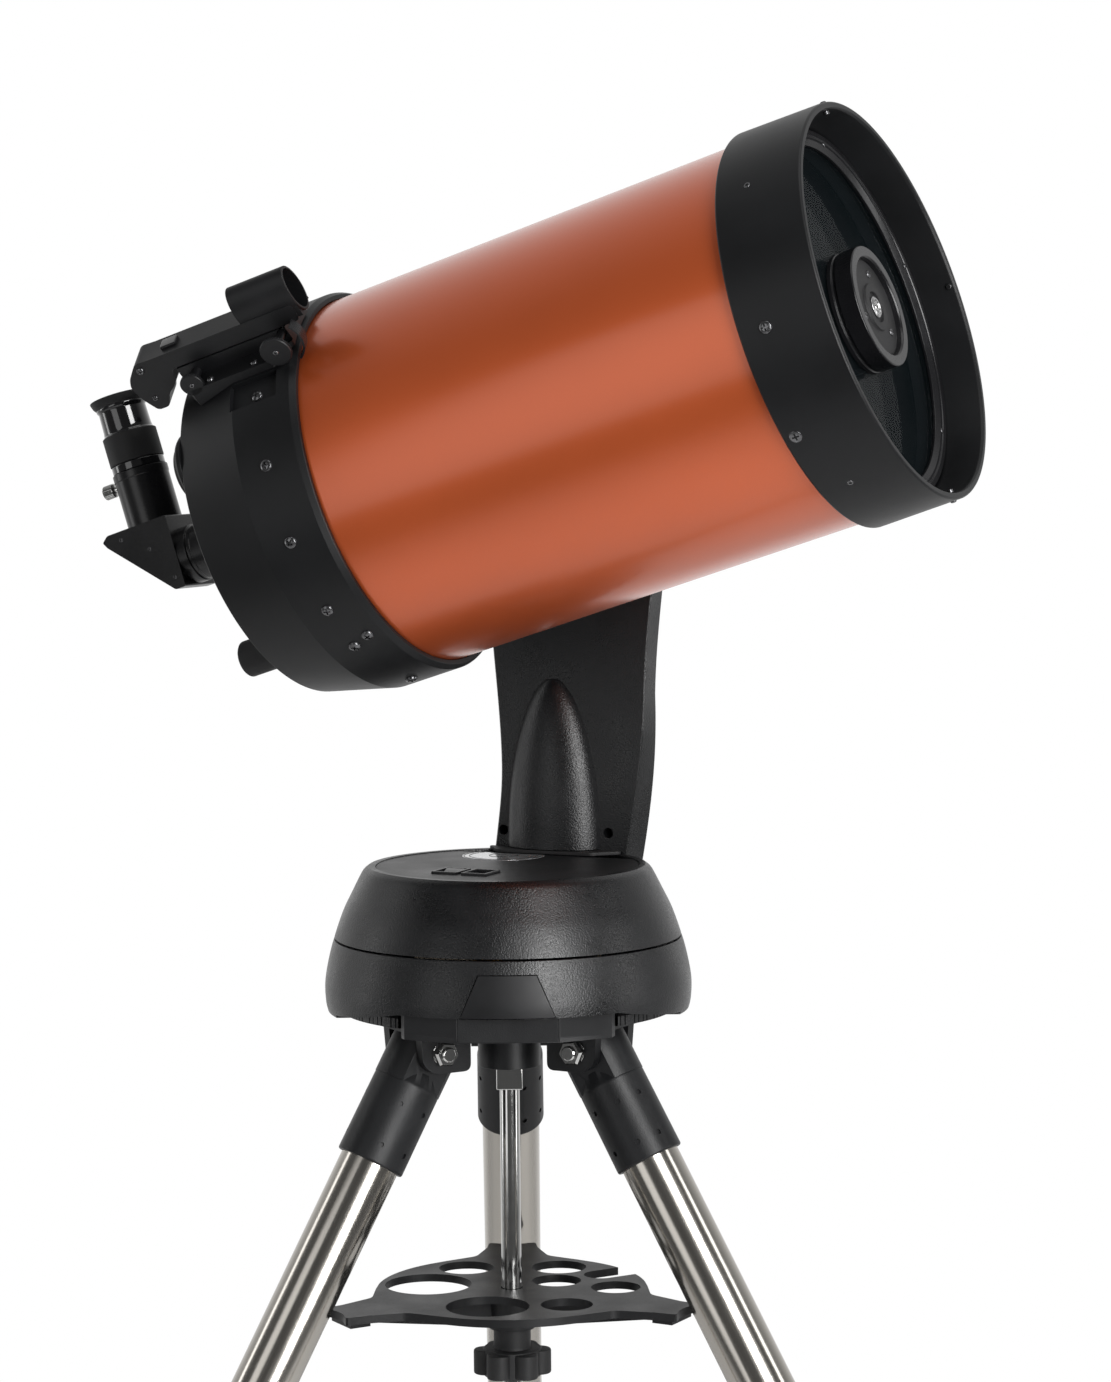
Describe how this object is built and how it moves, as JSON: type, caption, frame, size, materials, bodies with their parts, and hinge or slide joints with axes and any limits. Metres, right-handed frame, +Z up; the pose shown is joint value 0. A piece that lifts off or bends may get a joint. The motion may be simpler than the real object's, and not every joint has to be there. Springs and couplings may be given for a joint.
{
  "type": "schmidt cassegrain telescope",
  "caption": "Orange Schmidt-Cassegrain telescope on a single-arm motorised altazimuth base, with star diagonal, eyepiece, red-dot finder and stainless tripod",
  "frame": {"origin": "middle of the bottom of the bounding box, on the ground under the tripod", "axes": "+Z up, the telescope is seen from -Y with its front towards +X"},
  "size_m": [0.7846, 0.7776, 1.2063],
  "materials": {
    "tube_paint": "glossy metallic burnt orange lacquer",
    "cell_paint": "satin black powder coat",
    "cast_black": "fine-grained semi-gloss black powder coat",
    "black_plastic": "moulded, finely textured",
    "gloss_black": "polished black",
    "black_anodised": "black anodised",
    "rubber": "matte ribbed rubber",
    "stainless": "polished stainless steel",
    "steel": "ground steel",
    "chrome": "bright plated",
    "aluminium": "satin aluminium",
    "brass": "machined brass",
    "optical_glass": "clear, anti-reflection coated",
    "mirror_coating": "aluminised"
  },
  "bodies": {
    "tripod": {"tripod_head": "cast_black", "hinge_bolt_1": "chrome", "hinge_bolt_2": "chrome", "hinge_bolt_3": "chrome", "centre_rod": "chrome", "base_lower_shell": "cast_black", "front_panel": "black_plastic", "azimuth_gear": "brass"},
    "tray": {"accessory_tray": "black_plastic"},
    "tray_knob": {"tray_knob": "rubber"},
    "head": {"base_upper_shell": "cast_black", "power_jack": "gloss_black", "battery_pack": "black_plastic", "azimuth_motor": "black_plastic", "fork_arm": "cast_black", "arm_cover": "cast_black", "altitude_motor": "black_plastic"},
    "azimuth_worm": {"azimuth_worm": "steel"},
    "altitude_worm": {"altitude_worm": "steel"},
    "battery_cover": {"battery_cover": "cast_black"},
    "power_switch": {"power_switch": "gloss_black"},
    "saddle": {"saddle": "cast_black", "altitude_gear": "brass"},
    "clamp_jaw": {"clamp_jaw": "cast_black"},
    "clamp_knob": {"clamp_knob": "rubber"},
    "tube": {"dovetail_bar": "cell_paint", "optical_tube": "tube_paint", "corrector_cell": "cell_paint", "corrector_plate": "optical_glass", "retaining_ring": "cell_paint", "secondary_housing": "cell_paint", "rear_cell": "cell_paint", "baffle_tube": "black_anodised", "visual_back": "black_anodised", "finder_bracket": "black_plastic"},
    "focus_knob": {"focus_knob": "rubber"},
    "primary_mirror": {"primary_mirror": "mirror_coating"},
    "diagonal": {"diagonal_body": "black_anodised"},
    "diagonal_screw": {"diagonal_thumbscrew": "chrome"},
    "eyepiece": {"eyepiece": "gloss_black"},
    "finder": {"finder_body": "black_plastic"},
    "finder_knob": {"finder_knob": "black_plastic"},
    "leg_1": {"leg_sleeve_1": "black_plastic", "leg_tube_1": "stainless", "leg_clamp_1": "black_plastic"},
    "leg_extension_1": {"leg_extension_1": "stainless", "leg_foot_1": "rubber"},
    "leg_knob_1": {"leg_clamp_knob_1": "rubber"},
    "leg_2": {"leg_sleeve_2": "black_plastic", "leg_tube_2": "stainless", "leg_clamp_2": "black_plastic"},
    "leg_extension_2": {"leg_extension_2": "stainless", "leg_foot_2": "rubber"},
    "leg_knob_2": {"leg_clamp_knob_2": "rubber"},
    "leg_3": {"leg_sleeve_3": "black_plastic", "leg_tube_3": "stainless", "leg_clamp_3": "black_plastic"},
    "leg_extension_3": {"leg_extension_3": "stainless", "leg_foot_3": "rubber"},
    "leg_knob_3": {"leg_clamp_knob_3": "rubber"}
  },
  "joints": [
    {"name": "azimuth_turn", "type": "hinge", "parent": "tripod", "child": "head", "pos_m": [0, -0.0611, 0.69], "axis": [0, 0, 1], "continuous": true},
    {"name": "azimuth_worm_spin", "type": "hinge", "parent": "head", "child": "azimuth_worm", "pos_m": [-0.02878, -0.12226, 0.677], "axis": [0.9048, -0.4258, 0], "continuous": true},
    {"name": "altitude_turn", "type": "hinge", "parent": "head", "child": "saddle", "pos_m": [0.04279, 0.00166, 1], "axis": [-0.4258, -0.9048, 0], "range_deg": [-30, 72.2]},
    {"name": "altitude_worm_spin", "type": "hinge", "parent": "head", "child": "altitude_worm", "pos_m": [0.05471, 0.02699, 0.9504], "axis": [0.9048, -0.4258, 0], "range_deg": [-1810, 4340]},
    {"name": "tube_balance", "type": "slide", "parent": "saddle", "child": "tube", "axis": [0.8615, -0.4054, 0.3057], "range_m": [-0.03, 0.03]},
    {"name": "clamp_knob_turn", "type": "hinge", "parent": "saddle", "child": "clamp_knob", "pos_m": [0.04942, -0.02733, 0.94287], "axis": [-0.2766, 0.1302, 0.9521], "range_deg": [0, 722]},
    {"name": "clamp_jaw_slide", "type": "slide", "parent": "saddle", "child": "clamp_jaw", "axis": [0.2766, -0.1302, -0.9521], "range_m": [0, 0.0025]},
    {"name": "focus_knob_turn", "type": "hinge", "parent": "tube", "child": "focus_knob", "pos_m": [-0.14085, -0.13009, 0.88484], "axis": [0.8615, -0.4054, 0.3057], "range_deg": [-2172, 2172]},
    {"name": "mirror_focus", "type": "slide", "parent": "tube", "child": "primary_mirror", "axis": [0.8615, -0.4054, 0.3057], "range_m": [-0.0045, 0.0045]},
    {"name": "diagonal_turn", "type": "hinge", "parent": "tube", "child": "diagonal", "pos_m": [-0.17835, -0.08813, 0.94803], "axis": [0.8615, -0.4054, 0.3057], "continuous": true},
    {"name": "diagonal_screw_turn", "type": "hinge", "parent": "diagonal", "child": "diagonal_screw", "pos_m": [-0.24884, -0.05496, 0.98131], "axis": [0.8615, -0.4054, 0.3057], "range_deg": [-360, 360]},
    {"name": "eyepiece_slide", "type": "slide", "parent": "diagonal", "child": "eyepiece", "axis": [-0.2766, 0.1302, 0.9521], "range_m": [0, 0.03]},
    {"name": "finder_knob_turn", "type": "hinge", "parent": "tube", "child": "finder_knob", "pos_m": [-0.13161, -0.22449, 1.06729], "axis": [0.1484, 0.7768, 0.612], "range_deg": [-152, 152]},
    {"name": "finder_tilt", "type": "hinge", "parent": "tube", "child": "finder", "pos_m": [-0.16181, -0.19146, 1.07517], "axis": [0.1484, 0.7768, 0.612], "range_deg": [-1.2, 1.2]},
    {"name": "battery_cover_lift", "type": "slide", "parent": "head", "child": "battery_cover", "axis": [0, 0, 1], "range_m": [0, 0.04]},
    {"name": "power_switch_rock", "type": "hinge", "parent": "head", "child": "power_switch", "pos_m": [-0.03515, -0.0954, 0.737], "axis": [0.9048, -0.4258, 0], "range_deg": [-14, 0]},
    {"name": "tray_drop", "type": "slide", "parent": "tripod", "child": "tray", "axis": [0, 0, -1], "range_m": [0, 0.25]},
    {"name": "tray_knob_turn", "type": "hinge", "parent": "tray", "child": "tray_knob", "pos_m": [0, -0.0611, 0.422], "axis": [0, 0, 1], "range_deg": [-720, 720]},
    {"name": "leg_fold_1", "type": "hinge", "parent": "tripod", "child": "leg_1", "pos_m": [0, 0.0006, 0.629], "axis": [-1, 0, 0], "range_deg": [0, 17.6]},
    {"name": "leg_extend_1", "type": "slide", "parent": "leg_1", "child": "leg_extension_1", "axis": [0, 0.5015, -0.8652], "range_m": [0, 0.27]},
    {"name": "leg_knob_turn_1", "type": "hinge", "parent": "leg_1", "child": "leg_knob_1", "pos_m": [0, 0.35768, 0.09277], "axis": [0, 0.8652, 0.5015], "range_deg": [-270, 270]},
    {"name": "leg_fold_2", "type": "hinge", "parent": "tripod", "child": "leg_2", "pos_m": [-0.05343, -0.09195, 0.629], "axis": [0.5, -0.866, 0], "range_deg": [0, 17.6]},
    {"name": "leg_extend_2", "type": "slide", "parent": "leg_2", "child": "leg_extension_2", "axis": [-0.4343, -0.2508, -0.8652], "range_m": [0, 0.27]},
    {"name": "leg_knob_turn_2", "type": "hinge", "parent": "leg_2", "child": "leg_knob_2", "pos_m": [-0.36267, -0.27049, 0.09277], "axis": [-0.7492, -0.4326, 0.5015], "range_deg": [-270, 270]},
    {"name": "leg_fold_3", "type": "hinge", "parent": "tripod", "child": "leg_3", "pos_m": [0.05343, -0.09195, 0.629], "axis": [0.5, 0.866, 0], "range_deg": [0, 17.6]},
    {"name": "leg_extend_3", "type": "slide", "parent": "leg_3", "child": "leg_extension_3", "axis": [0.4343, -0.2508, -0.8652], "range_m": [0, 0.27]},
    {"name": "leg_knob_turn_3", "type": "hinge", "parent": "leg_3", "child": "leg_knob_3", "pos_m": [0.36267, -0.27049, 0.09277], "axis": [0.7492, -0.4326, 0.5015], "range_deg": [-270, 270]}
  ],
  "couplings": [
    {"joint": "azimuth_worm_spin", "follows": "azimuth_turn", "ratio": 60},
    {"joint": "altitude_worm_spin", "follows": "altitude_turn", "ratio": 60},
    {"joint": "clamp_knob_turn", "follows": "clamp_jaw_slide", "rad_per_m": 5026.5},
    {"joint": "focus_knob_turn", "follows": "mirror_focus", "rad_per_m": 8400},
    {"joint": "finder_knob_turn", "follows": "finder_tilt", "ratio": 125},
    {"joint": "leg_fold_1", "follows": "tray_drop", "rad_per_m": 1.2217},
    {"joint": "leg_fold_2", "follows": "tray_drop", "rad_per_m": 1.2217},
    {"joint": "leg_fold_3", "follows": "tray_drop", "rad_per_m": 1.2217}
  ]
}
